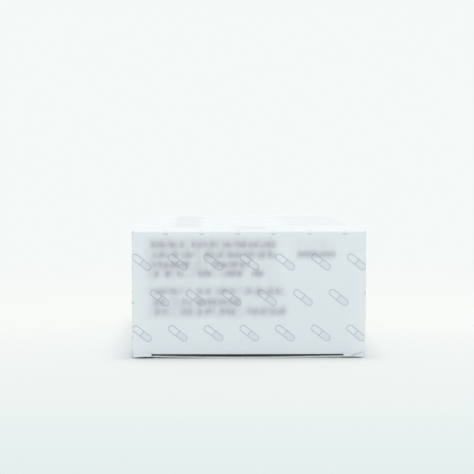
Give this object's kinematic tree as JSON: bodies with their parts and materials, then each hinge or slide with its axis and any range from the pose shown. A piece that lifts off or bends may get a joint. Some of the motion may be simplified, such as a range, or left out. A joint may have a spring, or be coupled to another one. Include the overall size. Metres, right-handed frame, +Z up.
{
  "type": "box of tablets",
  "caption": "White board tuck-end carton with slit ears on both hinged end lids, holding stacked foil blister packs on a folded leaflet.",
  "frame": {"origin": "middle of the base, on the surface the carton lies on", "axes": "+Z up, +Y from the front lid to the rear lid along the length, +X to the right as seen from the front lid"},
  "size_m": [0.078, 0.104, 0.0426],
  "materials": {
    "carton_board": "coated white board, satin, bare fibre at the cut edges",
    "foil": "cold-formed foil, satin",
    "leaflet_paper": "thin uncoated paper"
  },
  "bodies": {
    "carton": {"carton_sleeve": "carton_board", "leaflet": "leaflet_paper", "blister_left_1": "foil", "blister_left_2": "foil", "blister_left_3": "foil", "blister_left_4": "foil", "blister_left_5": "foil", "blister_right_1": "foil", "blister_right_2": "foil", "blister_right_3": "foil", "blister_right_4": "foil", "blister_right_5": "foil"},
    "front_lid": {"front_lid": "carton_board"},
    "rear_lid": {"rear_lid": "carton_board"}
  },
  "joints": [
    {"name": "front_lid_hinge", "type": "hinge", "parent": "carton", "child": "front_lid", "pos_m": [0, -0.05175, 0.04235], "axis": [-1, 0, 0], "range_deg": [0, 180]},
    {"name": "rear_lid_hinge", "type": "hinge", "parent": "carton", "child": "rear_lid", "pos_m": [0, 0.05175, 0.04235], "axis": [1, 0, 0], "range_deg": [0, 180]}
  ]
}
